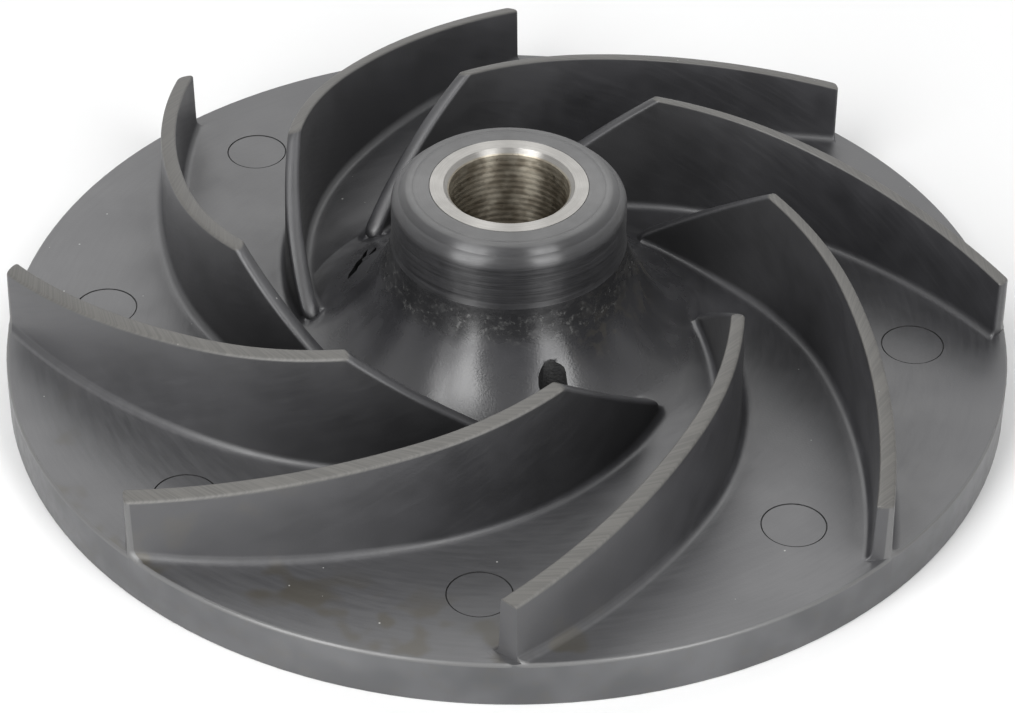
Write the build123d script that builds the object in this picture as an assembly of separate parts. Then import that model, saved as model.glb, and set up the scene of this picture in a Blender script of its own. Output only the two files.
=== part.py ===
from build123d import *
import os
from math import acos, asin, cos, degrees, radians, sin

# Open pump impeller: a plastic disc with eight backward-swept blades and a flared hub,
# moulded in one piece round a turned steel bush. The moulding is turned on its rim, its
# blade tops and its hub neck. Millimetres. The shaft axis is +Z, and the origin is the
# centre of the flat underside.

# Disc
DISC_RADIUS = 67.5
DISC_TOP = 6.7            # height of the wetted face
RIM_ROUND = 1.0           # moulded round, which the turned rim cuts through
RIM_TOP = 5.8             # height at which that round meets the turned rim

# Hub
HUB_HEIGHT = 30.0
NECK_RADIUS = 15.6
SHOULDER_ROUND = 2.8
FLARE_RADIUS = 17.0       # concave sweep from the neck down to the disc

# Steel bush
BORE_RADIUS = 8.0
BORE_CHAMFER = 0.7
BUSH_RADIUS = 10.5
GROOVE_DEPTH = 0.8        # ring grooves that the plastic fills, so the bush can't pull out
GROOVE_WIDTH = 2.0
GROOVE_HEIGHTS = (10.0, 20.0)

# Recess under the hub, which leaves a boss round the bush
BOSS_RADIUS = 14.0
RECESS_RADIUS = 25.0
FLARE_WALL = 4.2          # plastic between the recess and the flare

# Balance holes, from the flare down into the recess
HOLE_COUNT = 3
HOLE_RADIUS = 1.8
HOLE_CIRCLE = 20.0
HOLE_ANGLE = 287.5        # degrees from +X to the first hole

# Witness marks of the ejector pins, one in each channel
EJECTOR_RADIUS = 4.2
EJECTOR_CIRCLE = 54.8
EJECTOR_ANGLE = 131.9
EJECTOR_DEPTH = 0.15

# Blades. The camber line is two tangent arcs, whose lengths run from the tip inwards. The
# thicknesses are at the base, inside the disc, and at the height that the mould fills to.
BLADE_COUNT = 8
TIP_RADIUS = 66.4
TIP_ANGLE = 90.2          # degrees from +X to the first tip
TIP_HEADING = 36.5        # degrees from +X to the camber line there
OUTER_ARC = 83.2
OUTER_LENGTH = 36.6
INNER_ARC = 47.4
INNER_LENGTH = 41.0
ROOT_THICKNESS = 2.8
TOP_THICKNESS = 1.7
ROOT_FILLET = 0.9
TIP_CORNER = 0.4

# Cone that the blade tops are turned to, and the leading edge that slopes down inside it
KNEE_RADIUS = 35.6
KNEE_HEIGHT = 24.5
TIP_HEIGHT = 15.4
FOOT_HEIGHT = 8.6
LEADING_RUN = 21.5        # along the camber line, from the foot to the knee
LEADING_ROUND = 0.8

# Moulded blank, before turning
BLANK_RADIUS = 72.0
BLADE_BASE = 3.0          # the blades start inside the disc
BLADE_LIMIT = 27.0
CUT_OVERRUN = 10.0


def polar(radius, angle, height=0.0):
    """Point at a radius, an angle in degrees and a height."""
    return Vector(radius * cos(radians(angle)), radius * sin(radians(angle)), height)


def around(count, solid):
    """Copies of a solid, evenly spaced about the shaft axis."""
    return [Rot(0, 0, 360 / count * step) * solid for step in range(count)]


def camber(offset, height):
    """One side of a blade: the camber line moved outwards by an offset, at a height."""
    tip = polar(TIP_RADIUS, TIP_ANGLE, height)
    outer_start = TIP_HEADING + 90
    outer_centre = tip - polar(OUTER_ARC, outer_start)
    outer_turn = degrees(OUTER_LENGTH / OUTER_ARC)
    inner_start = outer_start + outer_turn
    inner_centre = outer_centre + polar(OUTER_ARC - INNER_ARC, inner_start)
    inner_turn = degrees(INNER_LENGTH / INNER_ARC)
    outer = CenterArc(outer_centre, OUTER_ARC + offset, outer_start, outer_turn)
    inner = CenterArc(inner_centre, INNER_ARC + offset, inner_start, inner_turn)
    return outer, inner


def blade_outline(thickness, height):
    """Plan outline of a blade, square at the tip with rounded corners, and round at the nose."""
    convex_outer, convex_inner = camber(thickness / 2, height)
    concave_outer, concave_inner = camber(-thickness / 2, height)
    nose_middle = (convex_inner @ 1 + concave_inner @ 1) / 2 + (convex_inner % 1) * (thickness / 2)
    nose = ThreePointArc(convex_inner @ 1, nose_middle, concave_inner @ 1)
    tip = Line(convex_outer @ 0, concave_outer @ 0)
    outline = make_face([convex_outer, convex_inner, nose, concave_inner, concave_outer, tip])
    corners = [outline.vertices().sort_by_distance(end)[0] for end in (tip @ 0, tip @ 1)]
    return fillet(corners, TIP_CORNER)


def leading_edge_wedge():
    """Space above the leading edge, which rises in a straight slope from foot to knee."""
    line = camber(0, 0)[1]
    foot = line @ 1 + Vector(0, 0, FOOT_HEIGHT)
    knee = line @ (1 - LEADING_RUN / INNER_LENGTH) + Vector(0, 0, KNEE_HEIGHT)
    overrun = (knee - foot).normalized() * CUT_OVERRUN
    low, high = foot - overrun, knee + overrun
    outline = Polyline(low, high, (low.X, low.Y, high.Z), close=True)
    return extrude(make_face(outline), CUT_OVERRUN, both=True)


def moulded_blade():
    """One blade with its mould draft and its rounded leading edge, before turning."""
    root = blade_outline(ROOT_THICKNESS, BLADE_BASE)
    top = blade_outline(TOP_THICKNESS, BLADE_LIMIT)
    sloped = loft([root, top], ruled=True) - leading_edge_wedge()
    planes = sloped.faces().filter_by(GeomType.PLANE)
    slope = planes.filter_by(lambda face: 0.1 < face.normal_at().Z < 0.9)[0]
    return fillet(slope.edges().sort_by(SortBy.LENGTH)[-2:], LEADING_ROUND)


def moulded_blank(blades):
    """Oversize disc with its blades, and a fillet along the root of each."""
    disc = Pos(0, 0, DISC_TOP / 2) * Cylinder(BLANK_RADIUS, DISC_TOP)
    joined = disc + blades
    return fillet(new_edges(disc, *blades, combined=joined), ROOT_FILLET)

def under_cone(radius):
    """Half section from the axis to a radius, below the cone that the blade tops are turned to."""
    slope = (KNEE_HEIGHT - TIP_HEIGHT) / (TIP_RADIUS - KNEE_RADIUS)
    edge = TIP_HEIGHT + slope * (TIP_RADIUS - radius)
    apex = TIP_HEIGHT + slope * TIP_RADIUS
    return (radius, edge), (0, apex), (0, 0)

def turned_space():
    """Space inside the turned rim, its rounded top edge and the turned cone."""
    rim_lean = asin((RIM_ROUND - DISC_TOP + RIM_TOP) / RIM_ROUND)
    rim_centre = (DISC_RADIUS - RIM_ROUND * cos(rim_lean), DISC_TOP - RIM_ROUND)
    rim = CenterArc(rim_centre, RIM_ROUND, degrees(rim_lean), 90 - degrees(rim_lean))
    below = Polyline((0, 0), (DISC_RADIUS, 0), rim @ 0)
    above = Polyline(rim @ 1, *under_cone(rim_centre[0]))
    return revolve(Plane.XZ * make_face([below, rim, above]), Axis.Z)

def blade_space():
    """Space inside the turned rim and the turned cone, which each blade fills to its tip."""
    outline = Polyline((DISC_RADIUS, 0), *under_cone(DISC_RADIUS), close=True)
    return revolve(Plane.XZ * make_face(outline), Axis.Z)

def flare_centre():
    """Centre of the flare's arc in the half section."""
    return (NECK_RADIUS + FLARE_RADIUS, DISC_TOP + FLARE_RADIUS)


def hub():
    """Hub from its rounded shoulder down the neck and the flare, solid to the axis."""
    shoulder_centre = (NECK_RADIUS - SHOULDER_ROUND, HUB_HEIGHT - SHOULDER_ROUND)
    shoulder = CenterArc(shoulder_centre, SHOULDER_ROUND, 90, -90)
    flare = CenterArc(flare_centre(), FLARE_RADIUS, 180, 90)
    neck = Line(shoulder @ 1, flare @ 0)
    inside = Polyline(flare @ 1, (NECK_RADIUS + FLARE_RADIUS, 0), (0, 0), (0, HUB_HEIGHT), shoulder @ 0)
    return revolve(Plane.XZ * make_face([shoulder, neck, flare, inside]), Axis.Z)


def recess():
    """Ring-shaped recess in the underside. Its ceiling keeps an even wall under the flare."""
    centre = flare_centre()
    reach = FLARE_RADIUS + FLARE_WALL
    start = 180 + degrees(acos((centre[0] - BOSS_RADIUS) / reach))
    end = 180 + degrees(acos((centre[0] - RECESS_RADIUS) / reach))
    ceiling = CenterArc(centre, reach, start, end - start)
    sides = Polyline(ceiling @ 1, (RECESS_RADIUS, 0), (BOSS_RADIUS, 0), ceiling @ 0)
    return revolve(Plane.XZ * make_face([ceiling, sides]), Axis.Z)


def bush_blank():
    """Steel bush before boring, with its two ring grooves."""
    blank = Pos(0, 0, HUB_HEIGHT / 2) * Cylinder(BUSH_RADIUS, HUB_HEIGHT)
    groove = Cylinder(BUSH_RADIUS, GROOVE_WIDTH) - Cylinder(BUSH_RADIUS - GROOVE_DEPTH, GROOVE_WIDTH)
    return blank - [Pos(0, 0, height) * groove for height in GROOVE_HEIGHTS]


def steel_bush():
    """Turned bush, bored through and chamfered at both mouths."""
    bored = bush_blank() - Pos(0, 0, HUB_HEIGHT / 2) * Cylinder(BORE_RADIUS, HUB_HEIGHT)
    mouths = bored.edges().filter_by(GeomType.CIRCLE).group_by(SortBy.RADIUS)[0]
    return chamfer(mouths, BORE_CHAMFER)


def impeller():
    """The moulding: disc, blades and hub in one piece, with the bush's space left open."""
    blades = around(BLADE_COUNT, moulded_blade())
    tips = [blade & blade_space() for blade in blades]
    bladed_disc = (moulded_blank(blades) & turned_space()) + tips
    hole_place = Pos(*polar(HOLE_CIRCLE, HOLE_ANGLE, HUB_HEIGHT / 2))
    holes = around(HOLE_COUNT, hole_place * Cylinder(HOLE_RADIUS, HUB_HEIGHT))
    mark_place = Pos(*polar(EJECTOR_CIRCLE, EJECTOR_ANGLE, DISC_TOP))
    marks = around(BLADE_COUNT, mark_place * Cylinder(EJECTOR_RADIUS, 2 * EJECTOR_DEPTH))
    return bladed_disc + hub() - recess() - holes - marks - bush_blank()


os.makedirs("parts", exist_ok=True)
export_step(impeller(), "parts/impeller.step")
export_step(steel_bush(), "parts/steel_bush.step")
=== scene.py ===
from math import cos, pi, radians, sin, sqrt

import bmesh
import bpy
import numpy as np
from mathutils import Matrix, Vector


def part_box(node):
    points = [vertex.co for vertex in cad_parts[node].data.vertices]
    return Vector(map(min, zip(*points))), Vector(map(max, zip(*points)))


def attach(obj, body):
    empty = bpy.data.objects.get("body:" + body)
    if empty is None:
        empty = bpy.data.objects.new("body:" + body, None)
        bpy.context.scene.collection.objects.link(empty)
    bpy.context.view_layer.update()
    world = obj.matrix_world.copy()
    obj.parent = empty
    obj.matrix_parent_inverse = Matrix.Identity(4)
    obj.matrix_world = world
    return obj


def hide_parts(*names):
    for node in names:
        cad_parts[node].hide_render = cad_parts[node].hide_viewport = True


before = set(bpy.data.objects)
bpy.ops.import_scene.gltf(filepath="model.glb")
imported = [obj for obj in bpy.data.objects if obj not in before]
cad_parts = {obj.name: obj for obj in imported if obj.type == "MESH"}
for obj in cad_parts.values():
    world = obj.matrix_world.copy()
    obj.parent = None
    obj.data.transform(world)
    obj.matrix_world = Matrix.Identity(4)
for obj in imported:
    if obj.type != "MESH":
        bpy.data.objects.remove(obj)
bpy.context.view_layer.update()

# Lengths are in millimetres, as on a drawing, and become metres where a mesh is made.
MM = 0.001

# Sizes of the moulding
DISC_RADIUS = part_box("impeller")[1].x / MM
HUB_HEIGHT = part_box("impeller")[1].z / MM
DISC_TOP = 6.7
BUSH_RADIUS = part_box("steel_bush")[1].x / MM
NECK_RADIUS = 15.6
FACE_RADIUS = 12.8            # flat face round the bush
UPPER_ROUND = 2.1             # the shoulder is two stacked rounds with a crease between them
UPPER_END = radians(30)
LOWER_ROUND = 1.85
LOWER_START = radians(62)
NECK_FOOT = 22.0              # the turned neck ends here, and the moulded flare goes on
FLARE_RADIUS = 17.0
BOSS_RADIUS = 14.0
RECESS_RADIUS = 25.0
POLISH_RADIUS = 29.0          # the flare is polished in to the neck from here
FLARE_WALL = 4.2

# Blades: the camber line is two tangent arcs, measured from the tip inwards.
BLADE_COUNT = 8
PITCH_ANGLE = 2 * pi / BLADE_COUNT
TIP_RADIUS = 66.4
TIP_ANGLE = radians(90.2)
TIP_HEADING = radians(36.5)
OUTER_ARC = 83.2
OUTER_LENGTH = 36.6
INNER_ARC = 47.4
CAMBER_LENGTH = 77.8
BASE_HEIGHT = 3.0             # height at which the blade is 2.8 mm thick
HALF_THICKNESS = 1.4
DRAFT = 0.55 / 24.0           # each wall leans in by this much per millimetre of height
ROOT_FILLET = 1.15
TIP_CORNER = 0.42
TIP_OVERRUN = 0.4             # past the camber line's start
TIP_SKEW = radians(18.5)      # the end faces turn this far towards the rim
TIP_STEEPNESS = 12            # the end faces are this much steeper than the drafted walls
EDGE_ROUND = 0.4              # edges of the turned tops
LEADING_ROUND = 0.8
KNEE_RADIUS = 35.6
KNEE_HEIGHT = 24.5
TIP_HEIGHT = 15.4
FOOT_HEIGHT = 8.6
LEADING_RUN = 21.5
FOOT_RISE = 0.9               # a blade's foot ends this far above the flare

# The moulding sat off centre when its rim was turned, so the small round left at the rim's
# upper edge changes in size round the disc.
RIM_ROUND = 0.34
RIM_OFFSET = 0.14
RIM_OFFSET_ANGLE = radians(240)

# Lathe marks on the neck
MARK_PITCH = 1.0
MARK_DEPTH = 0.02

# Balance holes. The second angle is the hole behind the hub.
HOLE_ANGLES = (radians(287.5), radians(47.5))
HOLE_RADIUS = 1.85
HOLE_CIRCLE = 20.0
HOLE_BOTTOM, HOLE_TOP = 3.0, 22.0

# Corners of the open hole's ragged edge, with +x away from the shaft
OPEN_HOLE = [(1.9, 0.0), (1.4, 1.4), (0.6, 1.9), (-0.6, 2.0), (-1.0, 1.9), (-1.3, 1.4), (-1.7, 0.1),
             (-1.5, -0.8), (-1.1, -1.4), (-0.6, -1.8), (0.2, -2.0), (0.9, -1.8), (1.6, -1.1)]
# Flash closes the third hole all but two slits; corners as distance from the shaft and degrees round it
SLIT = [(22.6, 165.5), (22.9, 162), (22.9, 158), (23.2, 154), (23.0, 151.5), (23.6, 148), (23.9, 144.5),
        (22.9, 148.5), (22.4, 150), (22.5, 153), (21.9, 155), (22.0, 158.5), (21.8, 161.5)]
SIDE_SLIT = [(21.9, 151.5), (22.2, 147.5), (22.6, 144), (21.6, 147), (21.2, 149), (21.5, 151)]
SLIT_BOTTOM, SLIT_TOP = 3.0, 12.0

# Ejector marks
EJECTOR_ANGLE = radians(131.9)
EJECTOR_CIRCLE = 54.8
EJECTOR_RADIUS = 4.2
GROOVE_DEPTH = 0.22           # of the fine groove round an ejector mark

# One tip is trimmed shorter than the others
TRIMMED_BLADE = 4
TRIM = 0.85
TRIM_REACH = 3.0              # the block that trims it goes this far past it

# Camera, measured from the centre of the underside
ELEVATION = 37.94
DISTANCE = 0.4824
LENS = 125.06
SENSOR = 36.0
YAW, PITCH, ROLL = -0.010, 0.133, -0.772

# Lamps stand at (degrees to the right of the camera, degrees up, metres away). Each strip
# runs from a low end to a high end. Radiance is the brightness of a lamp's face.
LEFT_STRIP = (-36, 1, 1.15), (-46, 66, 1.15)
LEFT_WIDTH, LEFT_RADIANCE = 0.48, 6.6
RIGHT_STRIP = (34, 1, 1.15), (46, 64, 1.15)
RIGHT_WIDTH, RIGHT_RADIANCE = 0.38, 5.4
BACK_PLACE, BACK_SIZE, BACK_RADIANCE = (180, 50, 1.2), (1.3, 0.95), 1.7
FILL_LEVEL = 0.11             # what the white surroundings add to the light on the object

# Floor: it fades into the white background over a span of distances, in metres
FLOOR_REACH = 3.0
FLOOR_GREY = 0.84
FADE_START, FADE_END = 0.25, 0.75


# ---------------------------------------------------------------- form of the moulding

OUTER_SPOKE = TIP_HEADING + pi / 2
OUTER_CENTRE = (TIP_RADIUS * np.array([cos(TIP_ANGLE), sin(TIP_ANGLE)])
                - OUTER_ARC * np.array([cos(OUTER_SPOKE), sin(OUTER_SPOKE)]))
INNER_SPOKE = OUTER_SPOKE + OUTER_LENGTH / OUTER_ARC
INNER_CENTRE = OUTER_CENTRE + (OUTER_ARC - INNER_ARC) * np.array([cos(INNER_SPOKE), sin(INNER_SPOKE)])


def wrap(angle):
    return (angle + pi) % (2 * pi) - pi


def camber_place(r, theta):
    """How far along the first blade's camber line a point lies, and how far to its side."""
    x, y = r * np.cos(theta), r * np.sin(theta)
    spoke = np.arctan2(y - OUTER_CENTRE[1], x - OUTER_CENTRE[0])
    along_outer = wrap(spoke - OUTER_SPOKE) * OUTER_ARC
    side_outer = np.hypot(x - OUTER_CENTRE[0], y - OUTER_CENTRE[1]) - OUTER_ARC
    spoke = np.arctan2(y - INNER_CENTRE[1], x - INNER_CENTRE[0])
    along_inner = OUTER_LENGTH + wrap(spoke - INNER_SPOKE) * INNER_ARC
    side_inner = np.hypot(x - INNER_CENTRE[0], y - INNER_CENTRE[1]) - INNER_ARC
    outer = along_outer < OUTER_LENGTH
    return np.where(outer, along_outer, along_inner), np.where(outer, side_outer, side_inner)


def outside(r, theta):
    """Distance outside the first blade's outline at BASE_HEIGHT; negative within it."""
    along, side = camber_place(r, theta)
    nose = np.maximum(along - (CAMBER_LENGTH - HALF_THICKNESS), 0)
    body = np.hypot(side, nose) - HALF_THICKNESS
    past_end = side * sin(TIP_SKEW) - along * cos(TIP_SKEW) - TIP_OVERRUN
    into_corner = np.clip(past_end + TIP_CORNER, 0, TIP_CORNER)
    corner = TIP_CORNER - np.sqrt(TIP_CORNER ** 2 - into_corner ** 2)
    tip = np.abs(side) - HALF_THICKNESS + corner + TIP_STEEPNESS * np.maximum(past_end, 0)
    return np.where(along < OUTER_LENGTH / 2, tip, body)


def cone_height(r):
    slope = (TIP_HEIGHT - KNEE_HEIGHT) / (TIP_RADIUS - KNEE_RADIUS)
    return KNEE_HEIGHT + slope * (r - KNEE_RADIUS)


def leading_height(along):
    slope = (KNEE_HEIGHT - FOOT_HEIGHT) / LEADING_RUN
    return FOOT_HEIGHT + slope * (CAMBER_LENGTH - along)


def floor_height(r, theta):
    """The flare and the disc's wetted face, with the small round at the rim."""
    run = np.clip(NECK_RADIUS + FLARE_RADIUS - r, 0, FLARE_RADIUS)
    flare = DISC_TOP + FLARE_RADIUS - np.sqrt(FLARE_RADIUS ** 2 - run ** 2)
    size = RIM_ROUND + RIM_OFFSET * np.cos(theta - RIM_OFFSET_ANGLE)
    past = np.clip(r - (DISC_RADIUS - size), 0, size)
    return flare - size + np.sqrt(size ** 2 - past ** 2)


def wall_at(height):
    """The level of outside() that a drafted blade wall has at a height."""
    return -DRAFT * (height - BASE_HEIGHT)


def round_off(depth, radius):
    """How far a rounded edge lies below the top, at a depth inside the wall."""
    short = np.clip(radius - depth, 0, radius)
    return radius - np.sqrt(radius ** 2 - short ** 2)


def wall_top(r, along):
    return np.minimum(cone_height(r) - EDGE_ROUND, leading_height(along) - LEADING_ROUND)


def surface_height(r, theta, sector_angle):
    """Height of the moulding's upper surface in the first sector, at r and theta."""
    out = outside(r, theta)
    along, _ = camber_place(r, theta)
    floor = floor_height(r, theta + sector_angle)
    centre = wall_at(floor + ROOT_FILLET) + ROOT_FILLET
    run = np.clip(centre - out, 0, ROOT_FILLET)
    fillet = floor + ROOT_FILLET - np.sqrt(ROOT_FILLET ** 2 - run ** 2)
    wall = np.where(out < wall_at(floor + ROOT_FILLET), BASE_HEIGHT - out / DRAFT, fillet)
    cone, leading = cone_height(r), np.maximum(leading_height(along), floor + FOOT_RISE)
    turned = cone - round_off(wall_at(cone - EDGE_ROUND) - out, EDGE_ROUND)
    crown = leading - round_off(wall_at(leading - LEADING_ROUND) - out, LEADING_ROUND)
    top = np.minimum(turned, crown)
    return np.maximum(floor, np.minimum(wall, top))


# ---------------------------------------------------------------- rings and columns

FILLET_TURNS = np.radians([0, 20, 40, 58, 74, 88])
WALL_SHARES = (0.3, 0.65, 1.0)
TOP_DEPTHS = (0.03, 0.1, 0.22, 0.4)
FLOOR_COLUMNS = 17
CLOSEST = 0.008               # columns never come nearer to each other than this
WALL_STEPS = 24


def column_levels(r, theta):
    """Levels of outside() for the columns from a blade's root to its centre."""
    along, _ = camber_place(r, theta)
    floor = floor_height(r, theta)
    centre = wall_at(floor + ROOT_FILLET) + ROOT_FILLET
    levels = [centre - ROOT_FILLET * np.sin(turn) for turn in FILLET_TURNS]
    foot, top = floor + ROOT_FILLET, np.maximum(wall_top(r, along), floor + ROOT_FILLET)
    levels += [wall_at(foot + share * (top - foot)) for share in WALL_SHARES]
    levels += [wall_at(top) - depth for depth in TOP_DEPTHS]
    return np.stack(levels)


def blade_angle(r):
    """Angle at which a ring comes deepest into the first blade."""
    turns = np.linspace(radians(60), radians(185), 12501)
    best = turns[np.argmin(outside(r[:, None], turns[None, :]), axis=1)]
    step = turns[1] - turns[0]
    fine = best[:, None] + np.linspace(-step, step, 201)[None, :]
    return fine[np.arange(len(r)), np.argmin(outside(r[:, None], fine), axis=1)]


def column_offsets(r, centre, side):
    """Angles from a blade's centre out to each of its columns, on one side, by bisection."""
    count = len(FILLET_TURNS) + len(WALL_SHARES) + len(TOP_DEPTHS)
    rings = np.broadcast_to(r, (count, len(r)))
    near, far = np.zeros_like(rings), np.full_like(rings, radians(19))
    for _ in range(48):
        middle = (near + far) / 2
        theta = centre + side * middle
        level = np.take_along_axis(column_levels(rings, theta), np.arange(count)[None, :, None], 0)[0]
        inside = outside(rings, theta) < level
        near, far = np.where(inside, middle, near), np.where(inside, far, middle)
    crosses = near > 0
    gap = CLOSEST / r
    offsets = np.zeros_like(rings)
    offsets[0] = np.maximum(np.where(crosses[0], near[0], 0), 1.2 / r)
    for j in range(1, count):
        left = count - j
        spread = offsets[j - 1] * left / (left + 1)
        offsets[j] = np.where(crosses[j], np.minimum(near[j], offsets[j - 1] - gap), spread)
    return offsets


def sector_columns(r):
    """Angles of one sector's columns on each ring, from one blade's centre to the next's."""
    centre = blade_angle(r)
    after = centre + column_offsets(r, centre, 1)
    before = centre + PITCH_ANGLE - column_offsets(r, centre, -1)
    share = np.linspace(0, 1, FLOOR_COLUMNS + 2)[1:-1, None]
    floor = after[0] + share * (before[0] - after[0])
    return np.concatenate([centre[None], after[::-1], floor, before])


def steps(*stops):
    """Values from stop to stop, each given with the spacing to the next."""
    parts = []
    for (start, spacing), (end, _) in zip(stops, stops[1:]):
        count = max(1, round(abs(end - start) / spacing))
        parts.append(np.linspace(start, end, count, endpoint=False))
    return np.concatenate(parts + [np.array([stops[-1][0]])])


def hub_rings():
    """Radius and height of the turned face, shoulder and neck, then the flare above the blades."""
    rings = [(BUSH_RADIUS, HUB_HEIGHT - 0.12), (BUSH_RADIUS + 0.1, HUB_HEIGHT)]
    rings += [(r, HUB_HEIGHT) for r in (11.2, 12.0, FACE_RADIUS - 0.2)]
    rings += [(FACE_RADIUS - 0.05, HUB_HEIGHT - 0.07)]
    for turn in np.linspace(radians(86), UPPER_END, 12):
        rings.append((FACE_RADIUS + UPPER_ROUND * cos(turn), HUB_HEIGHT - UPPER_ROUND * (1 - sin(turn))))
    crease_r, crease_z = rings[-1]
    for turn in np.linspace(LOWER_START, 0, 12):
        out = LOWER_ROUND * (cos(turn) - cos(LOWER_START))
        down = LOWER_ROUND * (sin(LOWER_START) - sin(turn))
        rings.append((crease_r + 0.02 + out, crease_z - 0.01 - down))
    neck_top = rings[-1][1]
    for z in np.linspace(neck_top - 0.2, NECK_FOOT, 30):
        phase = (neck_top - z) / MARK_PITCH
        groove = MARK_DEPTH * (0.5 + 0.5 * cos(2 * pi * phase)) ** 3 * min(1, (neck_top - z) / 0.8)
        rings.append((NECK_RADIUS - groove, z))
    flare_top = FLARE_RADIUS + DISC_TOP
    for turn in np.radians(np.linspace(8, 59, 24)):
        r = NECK_RADIUS + FLARE_RADIUS * (1 - cos(turn))
        rings.append((r, flare_top - FLARE_RADIUS * sin(turn)))
    return rings


def under_rings():
    """The underside, from the rim in to the bush, with the recess round its boss."""
    rings = [(DISC_RADIUS, 3.0), (DISC_RADIUS, 0.35), (DISC_RADIUS - 0.1, 0.1), (DISC_RADIUS - 0.35, 0.0)]
    rings += [(r, 0.0) for r in (60.0, 48.0, 36.0, RECESS_RADIUS + 0.4)]
    rings += [(RECESS_RADIUS + 0.1, 0.08), (RECESS_RADIUS, 0.35)]
    reach = FLARE_RADIUS + FLARE_WALL
    foot = NECK_RADIUS + FLARE_RADIUS
    top = DISC_TOP + FLARE_RADIUS
    for r in np.linspace(RECESS_RADIUS, BOSS_RADIUS, 14):
        rings.append((r, top - sqrt(reach ** 2 - (foot - r) ** 2)))
    rings += [(BOSS_RADIUS, 0.35), (BOSS_RADIUS - 0.1, 0.08), (BOSS_RADIUS - 0.35, 0.0)]
    rings += [(BUSH_RADIUS + 0.1, 0.0), (BUSH_RADIUS, 0.1)]
    return rings


SKIN, TURNED, POLISHED = 0, 1, 2  # material slots of the moulding
FLARE_TOLERANCE = 0.03        # the polished flare reaches this far up on to a root fillet


def ring_points(hub, blade_r, under):
    """Coordinates of every ring: the hub, the bladed floor, the underside and the wall at the bush."""
    columns = sector_columns(blade_r)
    count = columns.shape[0]
    after_middle = np.arange(count) > count / 2
    nearest = np.where(after_middle, columns.T - PITCH_ANGLE, columns.T)
    # The blades sweep the columns round, so the wall behind the bush brings them back in steps
    wall_z = np.linspace(under[-1][1], hub[0][1], WALL_STEPS + 2)[1:-1]
    lower = under + [(BUSH_RADIUS, height) for height in wall_z]
    swept_back = np.concatenate([np.zeros(len(under)), np.linspace(0, 1, WALL_STEPS + 2)[1:-1]])
    inner, outer = columns[:, 0], columns[:, -1]
    first_lower = len(hub) + len(blade_r)
    r = blade_r[:, None]
    rows = slice(len(hub), first_lower)
    x = np.zeros((first_lower + len(lower), BLADE_COUNT * count))
    y, z = np.zeros_like(x), np.zeros_like(x)
    for sector in range(BLADE_COUNT):
        turn = sector * PITCH_ANGLE
        at = slice(sector * count, (sector + 1) * count)
        theta = columns.T + turn
        own = turn + np.where(after_middle, PITCH_ANGLE, 0)
        x[rows, at], y[rows, at] = r * np.cos(theta), r * np.sin(theta)
        z[rows, at] = surface_height(r, nearest, own)
        for start, profile, share in ((0, hub, np.ones(len(hub))), (first_lower, lower, swept_back)):
            for i, (radius, height) in enumerate(profile):
                angles = outer + (inner - outer) * share[i] + turn
                x[start + i, at], y[start + i, at] = radius * np.cos(angles), radius * np.sin(angles)
                z[start + i, at] = height
    return x, y, z


def face_finishes(x, y, z, hub, blade_r):
    """The material slot of each face: turned on the neck and rim, polished on the bare flare."""
    rings, width = x.shape
    neck_end = next(i for i, (_, height) in enumerate(hub) if height < NECK_FOOT)
    rim = len(hub) + len(blade_r)
    row = np.repeat(np.arange(rings), width)
    turned = (row < neck_end) | ((row >= rim - 1) & (row < rim + 3))
    flare = np.zeros(rings, dtype=bool)
    flare[neck_end:len(hub) + np.searchsorted(blade_r, POLISH_RADIUS)] = True
    floor = floor_height(np.maximum(np.hypot(x, y), NECK_RADIUS), 0)
    bare = flare[:, None] & (z < floor + FLARE_TOLERANCE)
    bare[:len(hub)] = (np.arange(len(hub)) >= neck_end)[:, None]
    polished = bare & np.roll(bare, -1, axis=1)
    polished &= np.roll(polished, -1, axis=0)
    return np.where(turned, TURNED, np.where(polished.ravel(), POLISHED, SKIN))


def moulding_mesh():
    """One closed mesh of rings and columns, from the bush over the blades and round underneath."""
    blade_r = steps((24.2, 0.22), (28.5, 0.3), (33.5, 0.2), (37.5, 0.6), (64.0, 0.25),
                    (65.6, 0.085), (67.15, 0.045), (67.42, 0.016), (DISC_RADIUS, 0))
    hub = hub_rings()
    x, y, z = ring_points(hub, blade_r, under_rings())
    index = np.arange(x.size).reshape(x.shape)
    a, b = index, np.roll(index, -1, axis=1)
    c, d = np.roll(b, -1, axis=0), np.roll(a, -1, axis=0)
    faces = np.stack([a, d, c, b], axis=-1).reshape(-1, 4)
    mesh = bpy.data.meshes.new("moulding")
    mesh.from_pydata((np.stack([x, y, z], -1).reshape(-1, 3) * MM).tolist(), [], faces.tolist())
    mesh.polygons.foreach_set("material_index", face_finishes(x, y, z, hub, blade_r))
    return mesh


# ---------------------------------------------------------------- camera, light and floor

def add_camera():
    e = radians(ELEVATION)
    place = Vector((0, -cos(e), sin(e))) * DISTANCE
    forward = -place.normalized()
    right = Vector((1, 0, 0))
    up = right.cross(forward)
    for angle, about in ((YAW, "up"), (PITCH, "right"), (ROLL, "forward")):
        axis = {"up": up, "right": right, "forward": forward}[about]
        turn = Matrix.Rotation(radians(angle), 3, axis)
        right, up, forward = turn @ right, turn @ up, turn @ forward
    data = bpy.data.cameras.new("camera")
    data.lens, data.sensor_width = LENS, SENSOR
    camera = bpy.data.objects.new("camera", data)
    axes = Matrix((right, up, -forward)).transposed().to_4x4()
    camera.matrix_world = Matrix.Translation(place) @ axes
    bpy.context.scene.collection.objects.link(camera)
    bpy.context.scene.camera = camera


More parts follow.
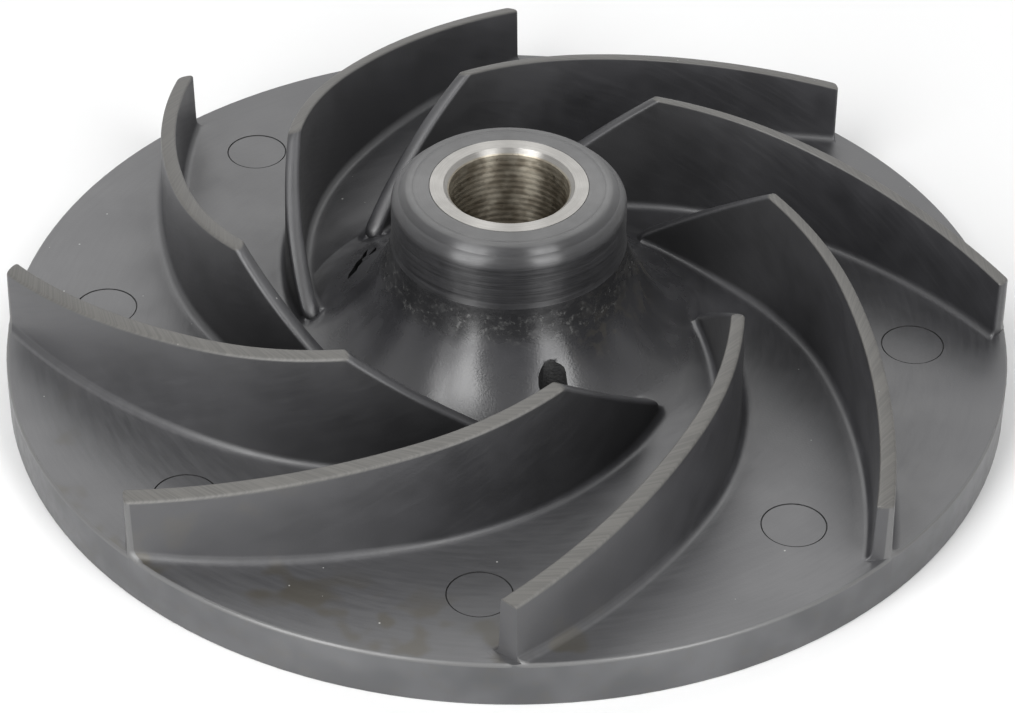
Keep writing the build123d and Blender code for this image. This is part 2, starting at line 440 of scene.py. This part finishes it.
def add_lamp(name, place, along, size, radiance):
    """A rectangular lamp at place that faces the object, with its long side along a direction."""
    back = place.normalized()
    along = (along - along.project(back)).normalized()
    across = along.cross(back)
    data = bpy.data.lights.new(name, "AREA")
    data.shape = "RECTANGLE"
    data.size, data.size_y = size
    data.energy = radiance * pi * size[0] * size[1]
    lamp = bpy.data.objects.new(name, data)
    axes = Matrix((across, along, back)).transposed().to_4x4()
    lamp.matrix_world = Matrix.Translation(place) @ axes
    bpy.context.scene.collection.objects.link(lamp)


def seen_from(azimuth, elevation, distance):
    """A place round the object; azimuth is in degrees from the camera's side, to the right."""
    a, e = radians(azimuth - 90), radians(elevation)
    return Vector((cos(a) * cos(e), sin(a) * cos(e), sin(e))) * distance


def add_strip(name, low, high, width, radiance):
    """A strip light from a low end to a high end, beside and over the object."""
    low, high = seen_from(*low), seen_from(*high)
    add_lamp(name, (low + high) / 2, high - low, (width, (high - low).length), radiance)


def add_softbox(name, place, size, radiance):
    """A softbox beside and over the object, with its long side up."""
    add_lamp(name, seen_from(*place), Vector((0, 0, 1)), size, radiance)


def add_world():
    world = bpy.data.worlds.new("studio")
    bpy.context.scene.world = world
    world.use_nodes = True
    nodes, links = world.node_tree.nodes, world.node_tree.links
    path = nodes.new("ShaderNodeLightPath")
    seen = nodes.new("ShaderNodeMath")
    seen.operation = "MAXIMUM"
    links.new(path.outputs["Is Camera Ray"], seen.inputs[0])
    links.new(path.outputs["Is Glossy Ray"], seen.inputs[1])
    also = nodes.new("ShaderNodeMath")
    also.operation = "MAXIMUM"
    links.new(seen.outputs[0], also.inputs[0])
    links.new(path.outputs["Is Transmission Ray"], also.inputs[1])
    level = nodes.new("ShaderNodeMapRange")
    level.inputs["To Min"].default_value = FILL_LEVEL
    level.inputs["To Max"].default_value = 1.0
    links.new(also.outputs[0], level.inputs["Value"])
    background = nodes["Background"]
    background.inputs["Color"].default_value = (1, 1, 1, 1)
    links.new(level.outputs[0], background.inputs["Strength"])


def add_floor():
    mesh = bpy.data.meshes.new("floor")
    reach = FLOOR_REACH
    corners = [(-reach, -reach, 0), (reach, -reach, 0), (reach, reach, 0), (-reach, reach, 0)]
    mesh.from_pydata(corners, [], [(0, 1, 2, 3)])
    floor = bpy.data.objects.new("floor", mesh)
    bpy.context.scene.collection.objects.link(floor)
    material = bpy.data.materials.new("floor")
    material.use_nodes = True
    shader = material.node_tree.nodes["Principled BSDF"]
    shader.inputs["Base Color"].default_value = (FLOOR_GREY, FLOOR_GREY, FLOOR_GREY, 1)
    shader.inputs["Roughness"].default_value = 0.8
    nodes, links = material.node_tree.nodes, material.node_tree.links
    away = nodes.new("ShaderNodeVectorMath")
    away.operation = "LENGTH"
    links.new(nodes.new("ShaderNodeTexCoord").outputs["Object"], away.inputs[0])
    fade = nodes.new("ShaderNodeMapRange")
    fade.interpolation_type = "SMOOTHSTEP"
    fade.inputs["From Min"].default_value = FADE_START
    fade.inputs["From Max"].default_value = FADE_END
    fade.inputs["To Min"].default_value = 1.0
    fade.inputs["To Max"].default_value = 0.0
    links.new(away.outputs["Value"], fade.inputs["Value"])
    links.new(fade.outputs[0], shader.inputs["Alpha"])
    mesh.materials.append(material)


# ---------------------------------------------------------------- materials

PLASTIC_IOR = 1.62            # a filled plastic
SKIN_DARK, SKIN_LIGHT = (0.019, 0.019, 0.021), (0.028, 0.028, 0.031)
FLOW_MARK = (0.050, 0.050, 0.054)
# Painted sheen on the disc and on the blade walls at the front
PAINTED_SHEEN = (0.062, 0.062, 0.065)
STAIN = (0.040, 0.035, 0.025)
# Painted highlight on the rim's rounded edge
PAINTED_RIM_HIGHLIGHT = (0.09, 0.09, 0.09)
# Painted shade on the blade walls near the hub
PAINTED_WALL_SHADE = (0.012, 0.012, 0.0125)
WITNESS = (0.085, 0.085, 0.083)
TOP_DARK, TOP_LIGHT = (0.054, 0.052, 0.048), (0.078, 0.075, 0.069)
DUST = (0.55, 0.55, 0.53)
HUB_DARK, HUB_LIGHT = (0.013, 0.013, 0.014), (0.022, 0.022, 0.024)
FACE_DARK, FACE_LIGHT = (0.038, 0.038, 0.039), (0.055, 0.055, 0.055)
RIM_DARK, RIM_LIGHT = (0.045, 0.046, 0.049), (0.072, 0.073, 0.077)
RIM_BROWN = (0.060, 0.056, 0.048)
STEEL_DARK, STEEL_LIGHT = (0.232, 0.226, 0.215), (0.295, 0.288, 0.275)
BORE_DARK, BORE_LIGHT = (0.21, 0.185, 0.145), (0.30, 0.275, 0.225)
BORE_SPECK = (0.14, 0.12, 0.09)
BORE_PITCH = 0.9              # of the turned ridges, which are this high against the lathe marks:
BORE_RIDGE = 0.2
# Painted shade inside the holes, slits and grooves
HOLE_SHADE_DARK, HOLE_SHADE_LIGHT = (0.004, 0.004, 0.004), (0.014, 0.014, 0.015)


class Graph:
    """Short ways to add shader nodes to a material and join them."""

    def __init__(self, name):
        self.material = bpy.data.materials.new(name)
        self.material.use_nodes = True
        self.tree = self.material.node_tree
        self.shader = self.tree.nodes["Principled BSDF"]

    def add(self, kind, **settings):
        node = self.tree.nodes.new(kind)
        for name, value in settings.items():
            setattr(node, name, value)
        return node

    def join(self, value, socket):
        if isinstance(value, bpy.types.NodeSocket):
            self.tree.links.new(value, socket)
        else:
            socket.default_value = value

    def math(self, operation, *values):
        node = self.add("ShaderNodeMath", operation=operation)
        for value, socket in zip(values, node.inputs):
            self.join(value, socket)
        return node.outputs[0]

    def vector(self, x, y, z):
        node = self.add("ShaderNodeCombineXYZ")
        for value, socket in zip((x, y, z), node.inputs):
            self.join(value, socket)
        return node.outputs[0]

    def between(self, value, start, end, low=0.0, high=1.0):
        """Goes smoothly from low to high as value goes from start to end."""
        node = self.add("ShaderNodeMapRange", interpolation_type="SMOOTHSTEP")
        for given, socket in zip((value, start, end, low, high), node.inputs):
            self.join(given, socket)
        return node.outputs[0]

    def noise(self, place, scale, detail=2.0, roughness=0.5):
        node = self.add("ShaderNodeTexNoise")
        self.join(place, node.inputs["Vector"])
        node.inputs["Scale"].default_value = scale
        node.inputs["Detail"].default_value = detail
        node.inputs["Roughness"].default_value = roughness
        return node.outputs["Fac"]

    def mix(self, share, first, second):
        node = self.add("ShaderNodeMix", data_type="RGBA")
        self.join(share, node.inputs["Factor"])
        for value, socket in ((first, node.inputs[6]), (second, node.inputs[7])):
            self.join((*value, 1) if isinstance(value, tuple) else value, socket)
        return node.outputs[2]

    def bump(self, height, distance):
        node = self.add("ShaderNodeBump")
        node.inputs["Distance"].default_value = distance * MM
        self.join(height, node.inputs["Height"])
        return node.outputs[0]

    def brush(self, amount):
        """Polishing and turning marks run round the shaft, and draw highlights out across them."""
        tangent = self.add("ShaderNodeTangent", direction_type="RADIAL", axis="Z")
        self.join(tangent.outputs[0], self.shader.inputs["Tangent"])
        self.shader.inputs["Anisotropic"].default_value = amount
        self.shader.inputs["Anisotropic Rotation"].default_value = 0.25

    def places(self):
        """The object's own coordinates in millimetres: x, y, z, distance from the shaft, and the vector."""
        scale = self.add("ShaderNodeVectorMath", operation="SCALE")
        self.join(self.add("ShaderNodeTexCoord").outputs["Object"], scale.inputs[0])
        scale.inputs["Scale"].default_value = 1 / MM
        split = self.add("ShaderNodeSeparateXYZ")
        self.join(scale.outputs[0], split.inputs[0])
        x, y, z = split.outputs
        r = self.math("SQRT", self.math("ADD", self.math("MULTIPLY", x, x), self.math("MULTIPLY", y, y)))
        return x, y, z, r, scale.outputs[0]

    def round_axis(self, x, y, r, z, turn, across):
        """Coordinates stretched round the shaft: turn units a radian, across units a millimetre."""
        c, s = self.math("DIVIDE", x, r), self.math("DIVIDE", y, r)
        return self.vector(self.math("MULTIPLY", c, turn), self.math("MULTIPLY", s, turn),
                           self.math("MULTIPLY", self.math("ADD", r, z), across))


def all_of(graph, *masks):
    mask = masks[0]
    for other in masks[1:]:
        mask = graph.math("MULTIPLY", mask, other)
    return mask


def any_of(graph, *masks):
    mask = masks[0]
    for other in masks[1:]:
        mask = graph.math("MAXIMUM", mask, other)
    return mask


def plastic_material(polished):
    """The moulded skin, with its turned blade tops, or the polished flare."""
    g = Graph("polished_plastic" if polished else "black_plastic")
    x, y, z, r, place = g.places()
    upward = g.add("ShaderNodeSeparateXYZ")
    g.join(g.add("ShaderNodeNewGeometry").outputs["Normal"], upward.inputs[0])
    level = upward.outputs[2]
    bloom = g.noise(place, 0.11, 2.0, 0.65)
    flow = g.noise(g.round_axis(x, y, r, z, 9.0, 1.5), 1.0, 2.0, 0.6)

    # Skin: a mottled bloom, faint flow marks, and painted sheen that makes the upward faces of the disc
    # paler towards the front
    color = g.mix(g.between(bloom, 0.3, 0.7), SKIN_DARK, SKIN_LIGHT)
    color = g.mix(g.between(flow, 0.42, 0.72, 0, 0.14), color, FLOW_MARK)
    # Painted sheen: the disc's upward faces 30 to 44 mm out are painted paler, strongest at the front left
    # and mottled by the flow noise
    rearward = g.between(g.math("ADD", x, y), -12, 38, 1.0, 0.25)
    painted_disc_sheen = all_of(g, g.between(level, 0.8, 0.95), g.between(r, 30, 44), rearward)
    color = g.mix(g.math("MULTIPLY", painted_disc_sheen, g.between(flow, 0.2, 0.8, 0.6, 1.0)), color, PAINTED_SHEEN)
    toward = g.math("SUBTRACT", g.math("MULTIPLY", x, -0.5), g.math("MULTIPLY", y, 0.86))
    stained = all_of(g, g.between(bloom, 0.53, 0.63), g.between(r, 52, 61),
                     g.between(toward, 36, 56, 0, 0.8))
    beside_neck = all_of(g, g.between(flow, 0.45, 0.6), g.between(z, 12, 15),
                         g.between(x, 6, 13, 0, 0.45), g.between(r, 21, 24, 1, 0))
    color = g.mix(any_of(g, stained, beside_neck), color, STAIN)

    # Blade walls: painted shade darkens them near the hub, and painted sheen lightens them near the rim at
    # the front
    wall = g.between(level, 0.3, 0.5, 1, 0)
    color = g.mix(g.math("MULTIPLY", wall, g.between(r, 30, 52, 0.7, 0)), color, PAINTED_WALL_SHADE)
    # Painted sheen on the blade walls near the rim at the front
    painted_wall_sheen = all_of(g, wall, g.between(r, 44, 60, 0, 0.6), g.between(toward, 0, 25))
    color = g.mix(painted_wall_sheen, color, PAINTED_SHEEN)

    # Painted highlight: the rim's rounded edge is painted lighter where it catches the light
    edge = all_of(g, g.between(r, DISC_RADIUS - 0.6, DISC_RADIUS - 0.5),
                  g.between(level, 0.94, 0.995, 1, 0))
    color = g.mix(edge, color, PAINTED_RIM_HIGHLIGHT)

    # Rough witness just under the turned neck
    witness = all_of(g, g.between(z, 16.0, 17.4), g.between(z, 19.8, 21.2, 1, 0),
                     g.between(flow, 0.4, 0.55), g.between(g.noise(place, 1.5, 3.0, 0.7), 0.48, 0.68),
                     g.between(r, NECK_RADIUS + 1.6, NECK_RADIUS + 2.2, 1, 0))
    color = g.mix(g.math("MULTIPLY", witness, 0.55), color, WITNESS)

    # Blade tops, turned to one cone
    slope = (TIP_HEIGHT - KNEE_HEIGHT) / (TIP_RADIUS - KNEE_RADIUS)
    cone = g.math("MULTIPLY_ADD", r, slope, KNEE_HEIGHT - slope * KNEE_RADIUS)
    below = g.math("SUBTRACT", cone, z)
    tops = all_of(g, g.between(below, 0.10, 0.42, 1, 0), g.between(z, 12, 13))
    lathe = g.noise(g.round_axis(x, y, r, z, 3.0, 6.0), 1.0, 1.0, 0.6)
    color = g.mix(tops, color, g.mix(g.between(lathe, 0.32, 0.68), TOP_DARK, TOP_LIGHT))

    # White dust that has settled on the upward faces
    cells = g.add("ShaderNodeTexVoronoi")
    g.join(place, cells.inputs["Vector"])
    cells.inputs["Scale"].default_value = 0.27
    chosen = g.add("ShaderNodeSeparateColor")
    g.join(cells.outputs["Color"], chosen.inputs[0])
    size = g.between(chosen.outputs[1], 0.1, 1.0, 0.020, 0.055)
    dust = all_of(g, g.between(g.math("DIVIDE", cells.outputs["Distance"], size), 0.35, 1.0, 1, 0),
                  g.math("GREATER_THAN", chosen.outputs[0], 0.4), g.between(level, 0.1, 0.5, 0, 0.7))
    color = g.mix(dust, color, DUST)
    g.join(color, g.shader.inputs["Base Color"])

    # Gloss: the flare is the smoothest, and the turned tops are the dullest
    gloss = g.math("ADD", g.between(r, 24, POLISH_RADIUS, 0.27, 0.39),
                   g.between(bloom, 0.3, 0.7, -0.03, 0.04))
    if not polished:
        gloss = g.math("ADD", gloss, g.between(level, 0.3, 0.9, 0.10, 0.02))
    gloss = g.math("ADD", gloss, g.between(flow, 0.4, 0.7, -0.02, 0.02))
    gloss = g.math("SUBTRACT", gloss, g.math("MULTIPLY", edge, 0.1))
    rough = any_of(g, g.math("MULTIPLY", tops, 0.55), g.math("MULTIPLY", witness, 0.5), dust)
    g.join(g.math("MAXIMUM", gloss, rough), g.shader.inputs["Roughness"])

    # Relief: fine grain and a slight sink of the skin, and lathe marks on the tops
    grain = g.math("MULTIPLY", g.noise(place, 3.4, 1.0, 0.6), 0.010)
    wave = g.math("MULTIPLY", g.noise(place, 0.22, 0.0), 0.055)
    marks = g.math("MULTIPLY", g.math("MULTIPLY", lathe, tops), 0.008)
    g.join(g.bump(g.math("ADD", g.math("ADD", grain, wave), marks), 1.0), g.shader.inputs["Normal"])
    g.shader.inputs["IOR"].default_value = PLASTIC_IOR
    if polished:
        g.brush(0.85)
    return g.material


def turned_material(name, dark, light):
    """A lathe-turned surface: fine grooves round the shaft that draw highlights out along it."""
    g = Graph(name)
    x, y, z, r, place = g.places()
    lathe = g.noise(g.round_axis(x, y, r, z, 2.0, 8.0), 1.0, 2.0, 0.7)
    patch = g.noise(place, 0.5, 2.0, 0.6)
    color = g.mix(g.between(lathe, 0.3, 0.7), dark, light)
    return g, color, lathe, patch, (z, r, place)


def finish_turned(g, color, lathe, patch, rough, cut):
    """Joins up a turned surface's color, its roughness about a mean, and grooves of a depth."""
    g.join(color, g.shader.inputs["Base Color"])
    g.join(g.math("ADD", g.between(lathe, 0.3, 0.7, rough - 0.05, rough + 0.05),
                  g.between(patch, 0.3, 0.7, -0.03, 0.03)), g.shader.inputs["Roughness"])
    g.join(g.bump(lathe, cut), g.shader.inputs["Normal"])
    g.brush(0.9)
    return g.material


def turned_plastic_material():
    """The turned neck and shoulder, the paler face round the bush, and the rim."""
    g, color, lathe, patch, (z, r, place) = turned_material("turned_plastic", HUB_DARK, HUB_LIGHT)
    rim = g.between(r, 40, 50)
    face = g.between(z, HUB_HEIGHT - 0.3, HUB_HEIGHT - 0.1)
    color = g.mix(face, color, g.mix(g.between(lathe, 0.3, 0.7), FACE_DARK, FACE_LIGHT))
    broad = g.noise(place, 0.09, 2.0, 0.6)
    rim_color = g.mix(g.between(broad, 0.35, 0.65), RIM_DARK, RIM_LIGHT)
    rim_color = g.mix(g.between(patch, 0.5, 0.75, 0, 0.35), rim_color, RIM_BROWN)
    color = g.mix(rim, color, rim_color)
    g.shader.inputs["IOR"].default_value = PLASTIC_IOR
    height = g.math("MULTIPLY", lathe, g.between(rim, 0, 1, 1, 0.25))
    return finish_turned(g, color, height, patch, 0.36, 0.012)


def steel_material():
    """The bush: a bright turned face, and a browned bore with fine ridges."""
    g, color, lathe, patch, (z, r, place) = turned_material("turned_steel", STEEL_DARK, STEEL_LIGHT)
    bore = g.between(r, 8.05, 8.25, 1, 0)
    wall = g.mix(g.between(patch, 0.35, 0.65), BORE_DARK, BORE_LIGHT)
    speck = g.between(g.noise(place, 1.6, 3.0, 0.7), 0.66, 0.72, 0, 0.8)
    color = g.mix(bore, color, g.mix(speck, wall, BORE_SPECK))
    g.shader.inputs["Metallic"].default_value = 1.0
    ridges = g.math("MULTIPLY", g.math("SINE", g.math("MULTIPLY", z, 2 * pi / BORE_PITCH)), bore)
    height = g.math("MULTIPLY_ADD", ridges, BORE_RIDGE, lathe)
    return finish_turned(g, color, height, patch, 0.42, 0.015)


def hole_shade_material():
    """Painted shade inside the holes, slits and grooves: near-black plastic with a torn relief."""
    g = Graph("hole_shade_plastic")
    *_, place = g.places()
    torn = g.noise(place, 1.4, 3.0, 0.7)
    g.join(g.mix(torn, HOLE_SHADE_DARK, HOLE_SHADE_LIGHT), g.shader.inputs["Base Color"])
    g.join(g.between(torn, 0.3, 0.7, 0.6, 0.8), g.shader.inputs["Roughness"])
    g.join(g.bump(torn, 0.2), g.shader.inputs["Normal"])
    g.shader.inputs["IOR"].default_value = PLASTIC_IOR
    return g.material


# ---------------------------------------------------------------- cutters

# The dark slot holds the painted shade of the holes, slits and grooves
DARK, PLAIN = 0, 1            # material slots of the cutters


def prism(name, outline, bottom, top):
    """A closed prism over an outline of (x, y) points; all in millimetres."""
    count = len(outline)
    points = [(x * MM, y * MM, h * MM) for h in (bottom, top) for x, y in outline]
    faces = [tuple(reversed(range(count))), tuple(range(count, 2 * count))]
    faces += [(i, (i + 1) % count, count + (i + 1) % count, count + i) for i in range(count)]
    mesh = bpy.data.meshes.new(name)
    mesh.from_pydata(points, [], faces)
    return mesh


def around_place(angle, outline):
    """Turns an outline, drawn with +x away from the shaft, to its place on the hole circle."""
    c, s = cos(angle), sin(angle)
    return [((HOLE_CIRCLE + x) * c - y * s, (HOLE_CIRCLE + x) * s + y * c) for x, y in outline]


def ragged_circle(seed, radius, rough):
    """A circle whose radius wavers by about rough, from a seed."""
    draw = np.random.default_rng(seed)
    waves = [(k, rough / k ** 0.7 * draw.uniform(-1, 1), draw.uniform(0, 2 * pi)) for k in range(2, 9)]
    outline = []
    for turn in np.linspace(0, 2 * pi, 56, endpoint=False):
        size = radius + sum(a * cos(k * turn + p) for k, a, p in waves)
        outline.append((size * cos(turn), size * sin(turn)))
    return outline


def ejector_cutter(angle):
    """A shallow disc with a fine groove at its edge."""
    section = [(EJECTOR_RADIUS + 0.05, 0.4), (EJECTOR_RADIUS + 0.05, -0.02),
               (EJECTOR_RADIUS, -GROOVE_DEPTH), (EJECTOR_RADIUS - 0.08, -GROOVE_DEPTH),
               (EJECTOR_RADIUS - 0.13, -0.05)]
    sides = 72
    cx, cy = EJECTOR_CIRCLE * cos(angle), EJECTOR_CIRCLE * sin(angle)
    points = [((cx + a * cos(t)) * MM, (cy + a * sin(t)) * MM, (DISC_TOP + h) * MM)
              for a, h in section for t in np.linspace(0, 2 * pi, sides, endpoint=False)]
    faces = [tuple(range(sides))]
    for row in range(len(section) - 1):
        for i in range(sides):
            j = (i + 1) % sides
            faces.append((row * sides + i, (row + 1) * sides + i, (row + 1) * sides + j, row * sides + j))
    last = (len(section) - 1) * sides
    faces.append(tuple(reversed(range(last, last + sides))))
    mesh = bpy.data.meshes.new("ejector")
    mesh.from_pydata(points, [], faces)
    # The groove faces take the painted shade of the dark slot
    grooved = [sides < i <= 4 * sides for i in range(len(faces))]
    mesh.polygons.foreach_set("material_index", [DARK if groove else PLAIN for groove in grooved])
    return mesh


def tip_cutter():
    """A block that trims one blade's tip shorter than the others."""
    tip = Vector((TIP_RADIUS * cos(TIP_ANGLE), TIP_RADIUS * sin(TIP_ANGLE)))
    heading = TIP_HEADING + TIP_SKEW
    out, across = Vector((cos(heading), sin(heading))), Vector((-sin(heading), cos(heading)))
    start = TIP_OVERRUN - TRIM
    end, half = start + TRIM_REACH, TRIM_REACH
    places = ((start, -half), (end, -half), (end, half), (start, half))
    corners = [tip + out * a + across * b for a, b in places]
    turn = Matrix.Rotation(TRIMMED_BLADE * PITCH_ANGLE, 2)
    outline = [tuple(turn @ corner) for corner in corners]
    mesh = prism("trim", outline, DISC_TOP + 0.02, TIP_HEIGHT + TRIM_REACH)
    mesh.polygons.foreach_set("material_index", [PLAIN] * len(mesh.polygons))
    return mesh


def polar(outline):
    return [(r * cos(radians(a)), r * sin(radians(a))) for r, a in outline]


def cutters(plain):
    """All that is cut from the moulding, in one mesh; plain is the material of the marks."""
    meshes = [ejector_cutter(EJECTOR_ANGLE + i * PITCH_ANGLE) for i in range(BLADE_COUNT)]
    meshes.append(tip_cutter())
    first, second = HOLE_ANGLES
    meshes.append(prism("hole", around_place(first, OPEN_HOLE), HOLE_BOTTOM, HOLE_TOP))
    meshes += [prism("slit", polar(outline), SLIT_BOTTOM, SLIT_TOP) for outline in (SLIT, SIDE_SLIT)]
    ragged = ragged_circle(5, HOLE_RADIUS, 0.16)
    meshes.append(prism("hole", around_place(second, ragged), HOLE_BOTTOM, HOLE_TOP))
    whole = bmesh.new()
    for mesh in meshes:
        whole.from_mesh(mesh)
    bmesh.ops.recalc_face_normals(whole, faces=whole.faces)
    joined = bpy.data.meshes.new("cutters")
    whole.to_mesh(joined)
    whole.free()
    joined.materials.append(hole_shade_material())
    joined.materials.append(plain)
    return joined


def add_moulding():
    """The moulding with its holes and marks cut, riding on the body and standing for its solid."""
    mesh = moulding_mesh()
    plastic = plastic_material(polished=False)
    for material in (plastic, turned_plastic_material(), plastic_material(polished=True)):
        mesh.materials.append(material)
    clean = bmesh.new()
    clean.from_mesh(mesh)
    bmesh.ops.recalc_face_normals(clean, faces=clean.faces)
    clean.to_mesh(mesh)
    clean.free()
    moulding = bpy.data.objects.new("moulding", mesh)
    bpy.context.scene.collection.objects.link(moulding)
    tool = bpy.data.objects.new("cutters", cutters(plastic))
    bpy.context.scene.collection.objects.link(tool)
    cut = moulding.modifiers.new("cut", "BOOLEAN")
    cut.operation, cut.solver, cut.object = "DIFFERENCE", "EXACT", tool
    cut.material_mode = "TRANSFER"
    bpy.context.view_layer.update()
    shown = moulding.evaluated_get(bpy.context.evaluated_depsgraph_get())
    moulding.data = bpy.data.meshes.new_from_object(shown)
    moulding.modifiers.clear()
    bpy.data.objects.remove(tool)
    moulding.data.polygons.foreach_set("use_smooth", [True] * len(moulding.data.polygons))
    moulding.data.set_sharp_from_angle(angle=radians(38))
    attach(moulding, "root")
    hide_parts("impeller")


add_camera()
add_world()
add_floor()
add_strip("left", *LEFT_STRIP, LEFT_WIDTH, LEFT_RADIANCE)
add_strip("right", *RIGHT_STRIP, RIGHT_WIDTH, RIGHT_RADIANCE)
add_softbox("back", BACK_PLACE, BACK_SIZE, BACK_RADIANCE)
add_moulding()
steel = steel_material()
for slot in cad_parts["steel_bush"].material_slots:
    slot.material = steel

bpy.context.scene.view_settings.view_transform = "Standard"
